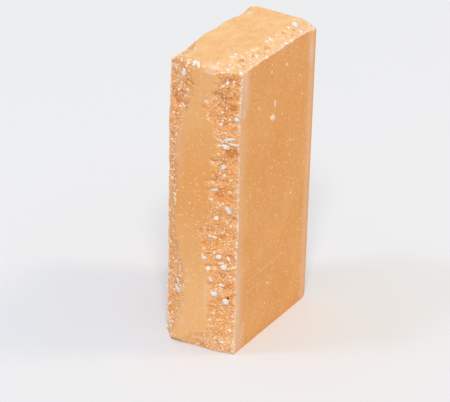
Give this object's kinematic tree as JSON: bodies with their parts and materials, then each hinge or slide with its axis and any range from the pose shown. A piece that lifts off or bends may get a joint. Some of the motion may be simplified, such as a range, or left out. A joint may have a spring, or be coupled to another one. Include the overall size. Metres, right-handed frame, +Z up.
{
  "type": "corner facing brick",
  "caption": "Solid pressed facing brick on its plain header, with the arrises of one stretcher and one header chipped to a split-stone face, for laying at a corner.",
  "frame": {"origin": "middle of the plain header that the brick stands on, at floor level", "axes": "+Z up along the length, X through the thickness from bed to bed, the chipped stretcher faces -Y and the chipped header faces +Z"},
  "size_m": [0.065, 0.12, 0.25],
  "materials": {
    "brick": "matt pressed faces and rough chipped faces, apricot with white lime grains"
  },
  "bodies": {
    "root": {"corner_brick": "brick"}
  },
  "joints": []
}
